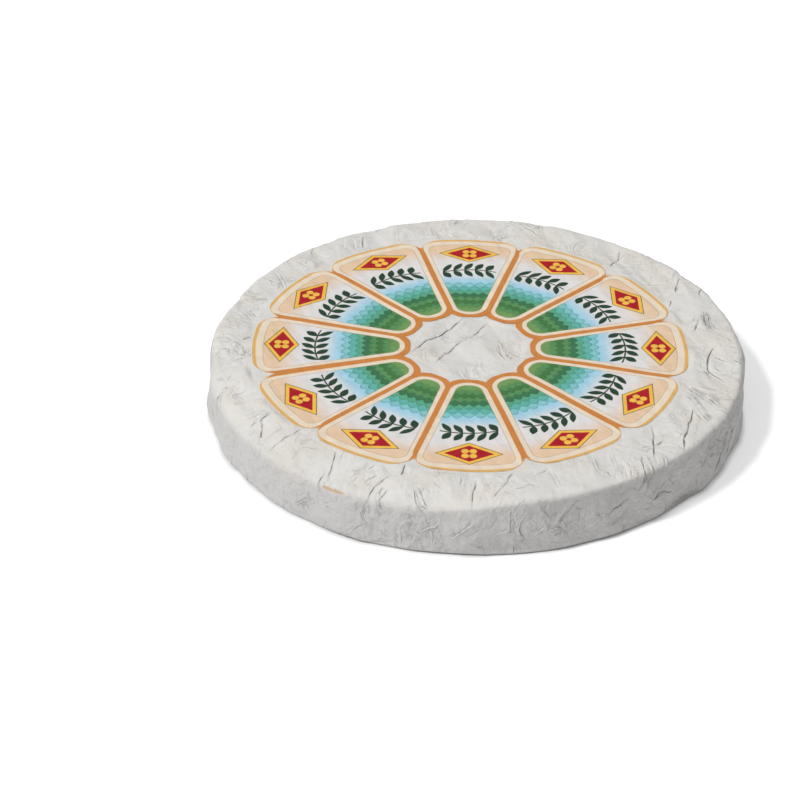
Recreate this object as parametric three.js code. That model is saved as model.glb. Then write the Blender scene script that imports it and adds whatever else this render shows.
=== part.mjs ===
// A whole wheel of brie: one solid cheese in its white rind, with twelve wedge-shaped paper labels laid
// side by side in a ring on its top, one for each portion. The rind is pressed into creases and low swells,
// and is smooth under the labels. Millimetres, +Z up, origin at the middle of the flat base.
import * as THREE from "three";

// The cheese
const WHEEL_RADIUS = 162;
const WHEEL_HEIGHT = 38;
const TOP_EDGE_ROUND = 4.5;
const BASE_EDGE_ROUND = 3;
const SIDE_BULGE = 1;

// The rim sinks at the front left: how far, in which direction, and within which angles to either side it
// sinks fully and not at all
const SAG_DEPTH = 7;
const SAG_TURN = THREE.MathUtils.degToRad(-132);
const SAG_FULL = THREE.MathUtils.degToRad(30);
const SAG_END = THREE.MathUtils.degToRad(57);
const SAG_CURVE = 1.5;

// The ring of labels, which lies a little off the middle of the wheel
const PORTIONS = 12;
const RING_CENTRE = new THREE.Vector2(-5, 0);
const RING_TURN = THREE.MathUtils.degToRad(-1);
const LABEL_INNER = 36.5;
const LABEL_OUTER = 132.5;
const LABEL_INNER_CORNER = 11.5;
const LABEL_OUTER_CORNER = 13;
const LABEL_THICKNESS = 0.4;
const LABEL_GAP = 0.3;

// The rind's relief: lobes in its outline, swells over its top, and creases all round
const LOBES = [
  { count: 2, height: 0.9, turn: 0.6 },
  { count: 3, height: 0.6, turn: 2.1 },
  { count: 7, height: 0.45, turn: 4.4 },
  { count: 13, height: 0.3, turn: 1.2 },
];
const SWELL_HEIGHT = 0.35;
const SWELL_LENGTH = 70;
const LONG_CREASES = [
  { from: [-44, -12], to: [-7, 35] },
  { from: [-26, -22], to: [8, 32] },
  { from: [-155, -38], to: [-139, -2] },
  { from: [-122, -110], to: [-101, -97] },
  { from: [-66, -158], to: [-39, -123] },
  { from: [13, 155], to: [13, 133] },
  { from: [84, 130], to: [89, 108] },
  { from: [141, 8], to: [144, -22] },
  { from: [125, -36], to: [148, -60] },
];
const LONG_CREASE_DEPTH = 1.1;
const LONG_CREASE_WIDTH = 6;
const FOLDS = 110;
const FOLD_SEED = 12;
const FOLD_HEIGHT = 1;
const FOLD_WIDTH = [5, 11];
const FOLD_REACH = [16, 34];
const SMOOTH_MARGIN = 2;
const SMOOTH_FADE = 8;
const STEADY_BASE = 3;

// How finely the surfaces are cut into faces
const SECTORS = 144;
const SIDE_STEPS = 6;
const BASE_EDGE_STEPS = 3;
const TOP_EDGE_STEPS = 4;
const RIM_STEPS = 4;
const UNDER_LABEL_STEPS = 7;
const MIDDLE_STEPS = 4;
const LABEL_COLUMNS = 4;
const LABEL_CORNER_STEPS = 4;
const LABEL_LENGTH_STEPS = 7;

const { clamp, lerp, smoothstep } = THREE.MathUtils;
const QUARTER_TURN = Math.PI / 2;
const HALF_PORTION = Math.PI / PORTIONS;
const SMOOTH_INNER = LABEL_INNER - SMOOTH_MARGIN;
const SMOOTH_OUTER = LABEL_OUTER + SMOOTH_MARGIN;

const rindMaterial = new THREE.MeshStandardMaterial({ color: 0xdfdbd5, roughness: 0.85, metalness: 0 });
const labelMaterial = new THREE.MeshStandardMaterial({ color: 0xe8cfae, roughness: 0.5, metalness: 0 });

// A repeatable stream of numbers from 0 to 1.
function seededDraw(seed) {
  let state = seed;
  return () => {
    state = (state * 1664525 + 1013904223) % 4294967296;
    return state / 4294967296;
  };
}

// Each fold lies along a plane through the skin, so that a crease on the top runs on over the edge. Out at
// the rim most of them point to the middle of the wheel, and nearer the middle they run any way.
function makeFolds() {
  const draw = seededDraw(FOLD_SEED);
  const folds = [];
  for (let i = 0; i < FOLDS; i++) {
    const turn = 2 * Math.PI * draw();
    const out = WHEEL_RADIUS * Math.sqrt(draw());
    const spread = out > SMOOTH_OUTER ? 0.8 : Math.PI;
    const across = turn + QUARTER_TURN + spread * lerp(-1, 1, draw());
    folds.push({
      middle: new THREE.Vector3(out * Math.cos(turn), out * Math.sin(turn), WHEEL_HEIGHT * lerp(0.2, 1, draw())),
      normal: new THREE.Vector3(Math.cos(across), Math.sin(across), lerp(-0.5, 0.5, draw())).normalize(),
      width: lerp(...FOLD_WIDTH, draw()),
      reach: lerp(...FOLD_REACH, draw()),
      height: FOLD_HEIGHT * (draw() < 0.6 ? -1 : 0.8) * lerp(0.5, 1, draw()),
    });
  }
  return folds;
}

// The creases that stand out most in the top, each a straight valley.
function makeLongCreases() {
  return LONG_CREASES.map(({ from, to }) => {
    const start = new THREE.Vector3(...from, WHEEL_HEIGHT);
    const end = new THREE.Vector3(...to, WHEEL_HEIGHT);
    return new THREE.Line3(start, end);
  });
}

const folds = makeFolds();
const longCreases = makeLongCreases();

function foldHeight(place) {
  const offset = new THREE.Vector3();
  let height = 0;
  for (const fold of folds) {
    offset.subVectors(place, fold.middle);
    const ridge = 1 - Math.abs(offset.dot(fold.normal)) / fold.width;
    if (ridge > 0) height += fold.height * ridge * Math.exp(-offset.lengthSq() / fold.reach ** 2);
  }
  for (const crease of longCreases) {
    const away = crease.closestPointToPoint(place, true, offset).distanceTo(place);
    height -= LONG_CREASE_DEPTH * Math.max(0, 1 - away / LONG_CREASE_WIDTH);
  }
  return height;
}

// 0 over the ring of labels, where the rind is smooth, and 1 well outside it.
function roughness(x, y) {
  const out = Math.hypot(x - RING_CENTRE.x, y - RING_CENTRE.y);
  const within = 1 - smoothstep(out, SMOOTH_INNER - SMOOTH_FADE, SMOOTH_INNER);
  const beyond = smoothstep(out, SMOOTH_OUTER, SMOOTH_OUTER + SMOOTH_FADE);
  return within + beyond;
}

function swellHeight(x, y) {
  const wave = (2 * Math.PI) / SWELL_LENGTH;
  return SWELL_HEIGHT * (Math.sin(wave * x + 0.8) * Math.cos(0.8 * wave * y) + 0.6 * Math.sin(0.6 * wave * (y - x)));
}

function lobeHeight(turn) {
  return LOBES.reduce((sum, lobe) => sum + lobe.height * Math.sin(lobe.count * turn + lobe.turn), 0);
}

// How far the rim sinks at this distance and direction from the middle: only outside the ring of labels.
function sagDepth(out, turn) {
  const away = Math.abs(Math.atan2(Math.sin(turn - SAG_TURN), Math.cos(turn - SAG_TURN)));
  const share = clamp((out - SMOOTH_OUTER) / (WHEEL_RADIUS - SMOOTH_OUTER), 0, 1);
  return SAG_DEPTH * (1 - smoothstep(away, SAG_FULL, SAG_END)) * share ** SAG_CURVE;
}

// Half of the wheel's section, from the middle of the base round to the middle of the top.
function wheelProfile() {
  const points = [new THREE.Vector2(0, 0)];
  const topFlat = WHEEL_RADIUS - TOP_EDGE_ROUND;
  const baseFlat = WHEEL_RADIUS - BASE_EDGE_ROUND;
  const topSide = WHEEL_HEIGHT - TOP_EDGE_ROUND;
  const addSteps = (steps, step, first = 1) => {
    for (let i = first; i <= steps; i++) points.push(new THREE.Vector2(...step(i / steps)));
  };
  const baseEdge = (s) => [
    baseFlat + BASE_EDGE_ROUND * Math.sin(QUARTER_TURN * s),
    BASE_EDGE_ROUND * (1 - Math.cos(QUARTER_TURN * s)),
  ];
  const side = (s) => [WHEEL_RADIUS + SIDE_BULGE * Math.sin(Math.PI * s), lerp(BASE_EDGE_ROUND, topSide, s)];
  const topEdge = (s) => [
    topFlat + TOP_EDGE_ROUND * Math.cos(QUARTER_TURN * s),
    topSide + TOP_EDGE_ROUND * Math.sin(QUARTER_TURN * s),
  ];
  addSteps(BASE_EDGE_STEPS, baseEdge, 0);
  addSteps(SIDE_STEPS, side);
  addSteps(TOP_EDGE_STEPS, topEdge);
  addSteps(RIM_STEPS, (s) => [lerp(topFlat, SMOOTH_OUTER, s), WHEEL_HEIGHT]);
  addSteps(UNDER_LABEL_STEPS, (s) => [lerp(SMOOTH_OUTER, SMOOTH_INNER, s), WHEEL_HEIGHT]);
  addSteps(MIDDLE_STEPS, (s) => [lerp(SMOOTH_INNER, 0, s), WHEEL_HEIGHT]);
  return points;
}

// The cheese: the section turned about +Z, then given its sunken rim, lobes, swells and creases. The rings of
// points on the top close in on the middle of the ring of labels.
function brieWheel() {
  const geometry = new THREE.LatheGeometry(wheelProfile(), SECTORS);
  geometry.rotateX(QUARTER_TURN);
  const places = geometry.getAttribute("position");
  const normals = geometry.getAttribute("normal");
  const place = new THREE.Vector3();
  const outward = new THREE.Vector3();
  for (let i = 0; i < places.count; i++) {
    place.fromBufferAttribute(places, i);
    outward.fromBufferAttribute(normals, i);
    const out = Math.hypot(place.x, place.y);
    const upward = clamp(outward.z, 0, 1);
    place.z *= 1 - sagDepth(out, Math.atan2(place.y, place.x)) / WHEEL_HEIGHT;
    const gather = upward * (1 - smoothstep(out, SMOOTH_OUTER, WHEEL_RADIUS));
    place.x += gather * RING_CENTRE.x;
    place.y += gather * RING_CENTRE.y;
    const free = lerp(1, roughness(place.x, place.y), upward);
    const swell = upward * swellHeight(place.x, place.y);
    const relief = smoothstep(place.z, 0, STEADY_BASE) * (free * foldHeight(place) + swell);
    const lobes = (1 - gather) * lobeHeight(Math.atan2(place.y, place.x)) * (out / WHEEL_RADIUS) ** 4;
    place.addScaledVector(outward.setZ(upward), relief);
    if (out > 0) place.add(new THREE.Vector3(place.x, place.y, 0).setLength(lobes));
    places.setXYZ(i, place.x, place.y, place.z);
  }
  geometry.computeVertexNormals();
  const cheese = new THREE.Mesh(geometry, rindMaterial);
  cheese.name = "brie_wheel";
  return cheese;
}

// A label's half width, at this distance from the ring's centre along its middle line. Its sides lie on the
// portion's two cuts, and each end has two round corners.
function labelHalfWidth(along) {
  const sine = Math.sin(HALF_PORTION);
  const cosine = Math.cos(HALF_PORTION);
  const clearance = LABEL_GAP / 2;
  const corner = (middle, round) => {
    const reach = Math.sqrt(Math.max(0, round ** 2 - (along - middle) ** 2));
    return (middle * sine - clearance - round) / cosine + reach;
  };
  const innerMiddle = LABEL_INNER + LABEL_INNER_CORNER;
  const outerMiddle = LABEL_OUTER - LABEL_OUTER_CORNER;
  if (along < innerMiddle - LABEL_INNER_CORNER * sine) return corner(innerMiddle, LABEL_INNER_CORNER);
  if (along > outerMiddle - LABEL_OUTER_CORNER * sine) return corner(outerMiddle, LABEL_OUTER_CORNER);
  return (along * sine - clearance) / cosine;
}

// The distances from the ring's centre of a label's rows of points, closer together in the corners.
function labelRows() {
  const innerMiddle = LABEL_INNER + LABEL_INNER_CORNER;
  const outerMiddle = LABEL_OUTER - LABEL_OUTER_CORNER;
  const swing = (i) => Math.cos((QUARTER_TURN * i) / LABEL_CORNER_STEPS);
  const rows = [];
  for (let i = 0; i <= LABEL_CORNER_STEPS; i++) rows.push(innerMiddle - LABEL_INNER_CORNER * swing(i));
  for (let i = 1; i < LABEL_LENGTH_STEPS; i++) rows.push(lerp(innerMiddle, outerMiddle, i / LABEL_LENGTH_STEPS));
  for (let i = LABEL_CORNER_STEPS; i >= 0; i--) rows.push(outerMiddle + LABEL_OUTER_CORNER * swing(i));
  return rows;
}

// Where a point of a label lies: across runs from -1 to 1 between its sides. Its rows are straight at the
// inner end and bow out to an arc at the outer end.
function labelPlace(along, across, turn) {
  const swing = across * Math.atan(labelHalfWidth(along) / along);
  const straight = 1 - smoothstep(along, LABEL_INNER, LABEL_OUTER);
  const out = along / Math.cos(swing) ** straight;
  const x = RING_CENTRE.x + out * Math.sin(turn + swing);
  const y = RING_CENTRE.y + out * Math.cos(turn + swing);
  return new THREE.Vector3(x, y, WHEEL_HEIGHT + swellHeight(x, y) + LABEL_GAP);
}

// One paper label: a box of rows and columns, drawn out into a thin sheet that follows the cheese.
function portionLabel(number) {
  const rows = labelRows();
  const geometry = new THREE.BoxGeometry(2, rows.length - 1, 1, LABEL_COLUMNS, rows.length - 1, 1);
  const places = geometry.getAttribute("position");
  const turn = RING_TURN + number * 2 * HALF_PORTION;
  for (let i = 0; i < places.count; i++) {
    const row = Math.round(places.getY(i) + (rows.length - 1) / 2);
    const place = labelPlace(rows[row], places.getX(i), turn);
    const lift = places.getZ(i) > 0 ? LABEL_THICKNESS : 0;
    places.setXYZ(i, place.x, place.y, place.z + lift);
  }
  geometry.computeVertexNormals();
  const label = new THREE.Mesh(geometry, labelMaterial);
  label.name = "label_" + String(number + 1).padStart(2, "0");
  return label;
}

const group = new THREE.Group();
group.add(brieWheel());
for (let number = 0; number < PORTIONS; number++) group.add(portionLabel(number));

export default group;
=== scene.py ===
"""A whole wheel of brie: a creased white rind, and a ring of twelve wedge-shaped paper labels on its top."""

import math
import random

import bpy
import numpy as np
from mathutils import Matrix, Vector


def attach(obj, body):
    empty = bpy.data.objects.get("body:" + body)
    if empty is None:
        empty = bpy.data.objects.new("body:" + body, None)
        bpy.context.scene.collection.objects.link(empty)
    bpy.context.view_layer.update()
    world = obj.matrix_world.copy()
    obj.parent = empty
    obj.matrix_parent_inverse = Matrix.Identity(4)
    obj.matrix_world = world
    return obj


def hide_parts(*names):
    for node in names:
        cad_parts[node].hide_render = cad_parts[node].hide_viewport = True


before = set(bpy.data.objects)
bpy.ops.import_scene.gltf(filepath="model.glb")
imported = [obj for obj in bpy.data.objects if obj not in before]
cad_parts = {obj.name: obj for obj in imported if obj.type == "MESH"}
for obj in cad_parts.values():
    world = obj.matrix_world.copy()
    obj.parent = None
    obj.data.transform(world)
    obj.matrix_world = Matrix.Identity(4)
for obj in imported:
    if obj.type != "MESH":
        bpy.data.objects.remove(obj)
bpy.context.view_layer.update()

bl_info = {
    "name": "Brie Wheel",
    "version": (1, 0, 0),
    "blender": (4, 5, 0),
    "location": "View3D > Sidebar > Brie",
    "description": "Makes a wheel of brie with its creased rind and its ring of labels",
    "category": "Object",
}

MM = 0.001

# The cheese's section, as in the solid
WHEEL_RADIUS = 162 * MM
WHEEL_HEIGHT = 38 * MM
TOP_EDGE_ROUND = 4.5 * MM
BASE_EDGE_ROUND = 3 * MM
SIDE_BULGE = 1 * MM
SAG_DEPTH = 7 * MM
SAG_TURN = math.radians(-132)
SAG_FULL = math.radians(30)
SAG_END = math.radians(57)
SAG_CURVE = 1.5
SAG_START = 134.5 * MM
SOLID_REACH = 6 * MM
BASE_FADE = 3 * MM

# The ring of labels, as in the solid
PORTIONS = 12
HALF_PORTION = math.pi / PORTIONS
RING_MIDDLE = (-5 * MM, 0.0)
RING_TURN = math.radians(-1)
LABEL_INNER = 36.5 * MM
LABEL_OUTER = 132.5 * MM
LABEL_INNER_CORNER = 11.5 * MM
LABEL_OUTER_CORNER = 13 * MM

# What the camera looks at, how its picture is shifted and how far it sees, how far the floor reaches to each
# side, and the sky's colour
CAMERA_TARGET = (-5 * MM, 1.5 * MM, WHEEL_HEIGHT)
CAMERA_SHIFT = (-0.0861, -0.0675)
CAMERA_END = 20
FLOOR_REACH = 6.0
SKY_COLOUR = (0.92, 0.96, 1.0)

# The rind's mesh: how far apart its points are where it shows and under the labels
SECTORS = 1088
FINE_STEP = 0.95 * MM
LABEL_STEP = 2.6 * MM
FINE_MIDDLE = 43 * MM
FINE_RIM = 126 * MM
WIDEST_SPACING = 1.15 * MM
WIDEST_UNDER_LABELS = 3.4 * MM
BASE_RINGS = (152 * MM, 140 * MM, 118 * MM, 80 * MM, 40 * MM, 16 * MM)

# How many times the rind's lie on the solid is evened out, and the points of a label's grid
SMOOTHING = 30
LABEL_COLUMNS = 25
LABEL_ROWS = 39

# The skin's folding: broad flat facets in the mesh, smaller ones in the finish, and soft lumps
LARGE_FACET = 17 * MM
LARGE_TILT = 0.08
SMALL_FACET = 5 * MM
SMALL_TILT = 0.08
LUMP_SIZE = 9 * MM
SIDE_ROUGHNESS = 1.1
FOLD_DIRECTIONS = ((0.88, 0.36, 0.31), (-0.42, 0.79, 0.45), (0.21, -0.66, 0.72))

# How far from the middle of the flattened skin things are scattered over it
SKIN_REACH = WHEEL_RADIUS + WHEEL_HEIGHT

# The scattered folds: how many, how long, wide and tall they are, and what share of them are valleys. Out at
# the rim a share of them lie any way, and the others run outwards.
BROAD_FOLDS = (260, (12 * MM, 34 * MM), (5 * MM, 14 * MM), (0.25 * MM, 0.65 * MM), 0.5)
SHARP_FOLDS = (800, (5 * MM, 18 * MM), (1.4 * MM, 4 * MM), (0.14 * MM, 0.45 * MM), 0.4)
ALONG_RIM = 0.25

# How far from the ring of labels the relief ends, how far under it the creases' finish runs on, over what
# length both fade, how broad the calmer band at the top edge is, and over what length the side begins
RELIEF_MARGIN = 1 * MM
FINISH_MARGIN = -3 * MM
MARGIN_FADE = 4 * MM
EDGE_CALM = 7 * MM
SIDE_BLEND = 4 * MM

# A crease: how broad its valley is in the mesh and as a fine line in the finish, how far off its lip is,
# and how far from it the skin still knows of it
CREASE_BREADTH = 1.0 * MM
CREASE_LINE = 0.42 * MM
LIP_OFFSET = 1.1 * MM
CREASE_REACH = 5 * MM

# Where the rind's flattened skin and its base lie on the square of its texture map
SKIN_ON_MAP = (0.41, 0.41, 0.4)
BASE_ON_MAP = (0.83, 0.83, 0.16)

# A label's own map holds its breadth and its length from the ring's middle
LABEL_MAP_BREADTH = 80 * MM
LABEL_MAP_LENGTH = 140 * MM

# The creases that stand out: points as a turn in degrees and a run in millimetres along the skin from the
# middle of the top, and how deep the crease is. A run past 165 is on the side, and past 195 on its foot.
CREASES = [
    ([(-165, 45.6), (-174, 37.2), (167, 30.8), (147, 26), (99, 39)], 0.8),
    ([(-140, 34), (-157, 20.6), (170, 12.2), (104, 12.4), (76, 33)], 0.75),
    ([(-38, 22), (-10, 14), (35, 17)], 0.4),
    ([(-180, 150), (-176, 145), (-173, 137)], 0.8),
    ([(-178, 138), (-174, 142), (-174, 149)], 0.6),
    ([(-168, 160), (-165, 153)], 0.6),
    ([(-163, 149), (-158, 152), (-154, 147)], 0.35),
    ([(-141, 158), (-147, 149), (-147, 138)], 0.75),
    ([(-138, 163), (-137.5, 147), (-137, 131)], 0.5),
    ([(-128, 141), (-133, 149), (-131, 160)], 0.4),
    ([(-121, 161), (-125, 138)], 0.55),
    ([(-118, 154), (-113, 137)], 0.35),
    ([(-111.8, 163), (-111.3, 152), (-109.3, 143)], 1.0),
    ([(-112, 164), (-113, 173), (-112, 181)], 0.8),
    ([(-107, 143), (-107, 130)], 0.85),
    ([(-100, 134), (-97, 147)], 0.55),
    ([(-90.7, 162), (-89.3, 137)], 0.6),
    ([(-87, 156), (-84, 147), (-80, 131)], 0.7),
    ([(-76, 139), (-72, 134)], 0.6),
    ([(-60, 134), (-62, 146), (-60, 157)], 0.35),
    ([(-53, 160), (-50, 148)], 0.4),
    ([(-49, 158), (-46, 147), (-42, 139), (-38, 130)], 0.7),
    ([(-42, 161), (-38, 154), (-32, 147), (-25, 143)], 0.95),
    ([(-29, 158), (-20, 134)], -1.7),
    ([(-22, 156), (-17, 131)], -1.4),
    ([(-12, 152), (-8.7, 142.5), (-6.7, 140.5), (-1.3, 141), (2.7, 146.5)], 1.0),
    ([(10, 134.5), (12, 139), (15.3, 144)], 0.9),
    ([(9, 151), (13, 147), (19, 150)], -1.4),
    ([(13, 141), (17, 146), (16, 152)], -1.2),
    ([(22.7, 130), (26, 136.5)], 0.6),
    ([(29.3, 143), (34.7, 157)], 0.9),
    ([(50, 130), (51, 144), (53.3, 155)], 0.7),
    ([(62, 150), (66, 141), (64, 133)], 0.4),
    ([(84.5, 149), (84.5, 130)], 0.7),
    ([(98, 152), (101, 142)], 0.4),
    ([(110.7, 155), (113.3, 136)], 0.6),
    ([(122.7, 153), (124, 142)], 0.6),
    ([(135, 139), (138, 150)], 0.4),
    ([(146.3, 156), (148.7, 147), (152, 138)], 0.7),
    ([(165, 152), (168, 143), (166, 136)], 0.5),
    ([(176, 152), (179, 144), (177, 136)], 0.7),
    ([(-22, 172), (-26, 187)], 0.9),
    ([(-25, 169), (-29, 184)], 0.8),
    ([(-28, 179), (-31, 192)], 0.9),
    ([(-33, 171), (-36, 181)], 0.6),
    ([(-45, 183), (-49, 178), (-52, 184)], 0.8),
    ([(-56, 174), (-62, 180), (-66, 178)], 0.7),
    ([(-71, 183), (-76, 179), (-79, 185)], 0.7),
    ([(-92, 176), (-95, 184)], 0.7),
    ([(-97, 171), (-101, 180), (-99, 188)], 0.6),
    ([(-124, 172), (-128, 183)], 0.6),
]

# The small creases scattered between them: how many, how long each of their straight parts is, how deep they
# are, how sharply they turn, and what share of them are ridges
SMALL_CREASES = 520
SMALL_LENGTH = (2.5 * MM, 7 * MM)
SMALL_DEPTH = (0.15, 0.65)
SMALL_TURN = 0.45
SMALL_RIDGES = 0.6

# How far creases stray from their lines, in waves about this long
WOBBLE = 0.22 * MM
WOBBLE_LENGTH = (6 * MM, 18 * MM)
WOBBLE_WAVES = 9

# Where the skin is finely crinkled: turn in degrees, run and breadth in millimetres, and how much
CRINKLES = [
    (-174, 147, 11, 0.6),
    (-164, 148, 8, 0.4),
    (179, 146, 7, 0.5),
    (14, 147, 8, 0.7),
    (-3, 153, 6, 0.6),
    (-9, 158, 6, 0.8),
    (1, 158, 5, 0.7),
    (-84, 142, 9, 0.5),
    (-150, 150, 7, 0.5),
    (36, 155, 7, 0.5),
    (-30, 176, 13, 0.8),
    (-50, 181, 12, 0.6),
    (-97, 182, 10, 0.5),
]

# The small folds in those spots: how many for each millimetre of breadth, their length, width and height in
# millimetres, and what share of them are valleys
CRINKLE_FOLDS = 2.2
CRINKLE_LENGTH = (2.5, 8)
CRINKLE_WIDTH = (1.1, 2.2)
CRINKLE_HEIGHT = (0.25, 0.7)
CRINKLE_VALLEYS = 0.35

# Where the top edge is folded to a sharp ridge: turn, half length in degrees, and its height
EDGE_RIDGES = [
    (-134, 16, 0.9 * MM),
    (-91, 17, 1.0 * MM),
    (-62, 12, 0.8 * MM),
    (-38, 9, 0.6 * MM),
    (-16, 7, 0.5 * MM),
]
EDGE_RIDGE_BREADTH = 2.4 * MM

# Worn lines along the top edge, in millimetres and degrees: turn, run from the middle, half its length and
# half its breadth, and how worn it is
SCUFFS = [
    (-119.5, 162.4, 8.5, 1.1, 1.0),
    (-112, 163.2, 5, 0.9, 0.6),
    (-107, 164.8, 6, 0.6, 0.4),
    (-100, 163.5, 5, 0.5, 0.35),
    (-126.5, 163.6, 4, 0.7, 0.45),
    (-70, 163, 4, 0.5, 0.35),
    (-58, 163, 6, 0.5, 0.75),
    (-52, 163.4, 5, 0.5, 0.75),
    (-18.5, 161, 4, 0.7, 0.45),
    (35, 162, 5, 0.6, 0.4),
    (128, 162, 6, 0.7, 0.5),
    (74, 162, 4, 0.6, 0.4),
]

# How each label lies beside its place in the ring: turned clockwise by these degrees, and moved outwards by
# these millimetres
LABEL_STRAYS = [
    (0.6, -1.6),
    (0.5, -1.2),
    (0.0, 0.2),
    (-0.5, 0.8),
    (-0.7, -0.5),
    (-0.1, -1.0),
    (0.3, -0.4),
    (-0.2, 1.1),
    (-0.9, 0.9),
    (0.4, -0.9),
    (0.9, 0.2),
    (0.6, 0.1),
]


def shade(red, green, blue):
    """A colour given as it shows on a screen, each part from 0 to 255, as Blender's own numbers."""
    parts = (part / 255 for part in (red, green, blue))
    return tuple(part / 12.92 if part <= 0.04045 else ((part + 0.055) / 1.055) ** 2.4 for part in parts)


def opaque(colour):
    return (*colour, 1.0)


# Node building


class Number:
    """A number worked out by nodes: plain arithmetic on it adds the nodes that do the sum."""

    def __init__(self, tree, socket):
        self.tree = tree
        self.socket = socket

    def sum(self, operation, *others):
        node = self.tree.nodes.new("ShaderNodeMath")
        node.operation = operation
        for socket, value in zip(node.inputs, (self, *others)):
            plug(self.tree, socket, value)
        return Number(self.tree, node.outputs[0])

    def __add__(self, other):
        return self.sum("ADD", other)

    def __sub__(self, other):
        return self.sum("SUBTRACT", other)

    def __rsub__(self, other):
        return self.sum("MULTIPLY_ADD", -1.0, other)

    def __mul__(self, other):
        return self.sum("MULTIPLY", other)

    def __truediv__(self, other):
        return self.sum("DIVIDE", other)

    def __pow__(self, other):
        return self.sum("POWER", other)

    __radd__ = __add__
    __rmul__ = __mul__

    def __abs__(self):
        return self.sum("ABSOLUTE")

    def above(self, other):
        return self.sum("MAXIMUM", other)

    def below(self, other):
        return self.sum("MINIMUM", other)

    def over(self, edge, blur):
        """1 where the number is past the edge and 0 short of it, with a soft step this wide."""
        return ramp(self, edge - blur / 2, edge + blur / 2)

    def under(self, edge, blur):
        return ramp(self, edge - blur / 2, edge + blur / 2, 1.0, 0.0)


def plug(tree, socket, value):
    """Gives a socket a value, or links it to what works one out."""
    if isinstance(value, Number):
        tree.links.new(value.socket, socket)
    elif isinstance(value, bpy.types.NodeSocket):
        tree.links.new(value, socket)
    else:
        socket.default_value = value


def add(tree, kind, inputs=(), **settings):
    """A new node, with its settings and then the sockets in this mapping of names or numbers to values."""
    node = tree.nodes.new(kind)
    for name, value in settings.items():
        setattr(node, name, value)
    fill(tree, node, dict(inputs))
    return node


def fill(tree, node, inputs):
    """Gives a node's sockets their values."""
    for name, value in inputs.items():
        plug(tree, node.inputs[name], value)


def ramp(number, start, end, low=0.0, high=1.0):
    """The number carried softly from the range start to end to the range low to high, and held beyond."""
    inputs = {"Value": number, "From Min": start, "From Max": end, "To Min": low, "To Max": high}
    node = add(number.tree, "ShaderNodeMapRange", inputs, interpolation_type="SMOOTHSTEP")
    return Number(number.tree, node.outputs["Result"])


def hypotenuse(across, along):
    return (across * across + along * along).sum("SQRT")


def parts_of(tree, vector):
    """The three numbers of a vector."""
    outputs = add(tree, "ShaderNodeSeparateXYZ", {0: vector}).outputs
    return [Number(tree, output) for output in outputs]


def vector_of(tree, x, y, z):
    return add(tree, "ShaderNodeCombineXYZ", {0: x, 1: y, 2: z}).outputs[0]


def scaled(tree, vector, scale):
    node = add(tree, "ShaderNodeVectorMath", {0: vector}, operation="SCALE")
    plug(tree, node.inputs["Scale"], scale)
    return node.outputs[0]


def plus(tree, vector, other, operation="ADD"):
    return add(tree, "ShaderNodeVectorMath", {0: vector, 1: other}, operation=operation).outputs[0]


def noise(tree, vector, size, detail=2.0, roughness=0.5):
    """Noise from 0 to 1 whose lumps are about this far apart."""
    inputs = {"Vector": vector, "Scale": 1 / size, "Detail": detail, "Roughness": roughness}
    return Number(tree, add(tree, "ShaderNodeTexNoise", inputs).outputs[0])


def folded(tree, where, size, tilt):
    """The height of a folded skin: flat facets about this broad that meet in straight creases, each tilted
    by about this slope."""
    stir = add(tree, "ShaderNodeTexNoise", {"Vector": where, "Scale": 0.4 / size, "Detail": 1.0})
    shift = scaled(tree, plus(tree, stir.outputs["Color"], (0.5, 0.5, 0.5), "SUBTRACT"), 2.2 * size)
    stirred = plus(tree, where, shift)
    height = 0.0
    for direction in FOLD_DIRECTIONS:
        along = add(tree, "ShaderNodeVectorMath", {0: stirred, 1: direction}, operation="DOT_PRODUCT")
        wave = Number(tree, along.outputs["Value"]).sum("PINGPONG", size)
        height = wave * tilt + height
    return height - 0.5 * size * tilt * len(FOLD_DIRECTIONS)


def crinkled(tree, where, size, breadth):
    """1 along fine winding lines about this far apart, and 0 elsewhere."""
    return abs(noise(tree, where, size, 3.0, 0.6) - 0.5).under(0.0, breadth)


def mixed(tree, share, colour, other):
    """The colour with this share of the other laid over it."""
    return add(tree, "ShaderNodeMix", {0: share, 6: colour, 7: opaque(other)}, data_type="RGBA").outputs[2]


def new_material(name):
    """A new material, with its tree and its shader."""
    material = bpy.data.materials.new(name)
    material.use_nodes = True
    return material, material.node_tree, material.node_tree.nodes["Principled BSDF"]


def bumped(tree, height):
    """The directions of a surface with this relief."""
    return add(tree, "ShaderNodeBump", {"Strength": 1.0, "Distance": 1.0, "Height": height}).outputs[0]


def geometry_of(tree, piece):
    return add(tree, "GeometryNodeObjectInfo", {"Object": piece}).outputs["Geometry"]


def attribute_of(tree, name, kind="FLOAT"):
    return add(tree, "GeometryNodeInputNamedAttribute", {"Name": name}, data_type=kind).outputs[0]


def with_attribute(tree, geometry, name, value, kind):
    inputs = {"Geometry": geometry, "Name": name, "Value": value}
    return add(tree, "GeometryNodeStoreNamedAttribute", inputs, data_type=kind, domain="POINT").outputs[0]


def evened(tree, value, times):
    inputs = {0: value, "Iterations": times}
    return Number(tree, add(tree, "GeometryNodeBlurAttribute", inputs, data_type="FLOAT").outputs[0])


def moved(tree, geometry, place):
    return add(tree, "GeometryNodeSetPosition", {"Geometry": geometry, "Position": place}).outputs[0]


def ray_from(tree, start, direction, length, target):
    """What a ray from each point meets of the target."""
    inputs = {"Target Geometry": target, "Source Position": start}
    inputs |= {"Ray Direction": direction, "Ray Length": length}
    return add(tree, "GeometryNodeRaycast", inputs).outputs


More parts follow.
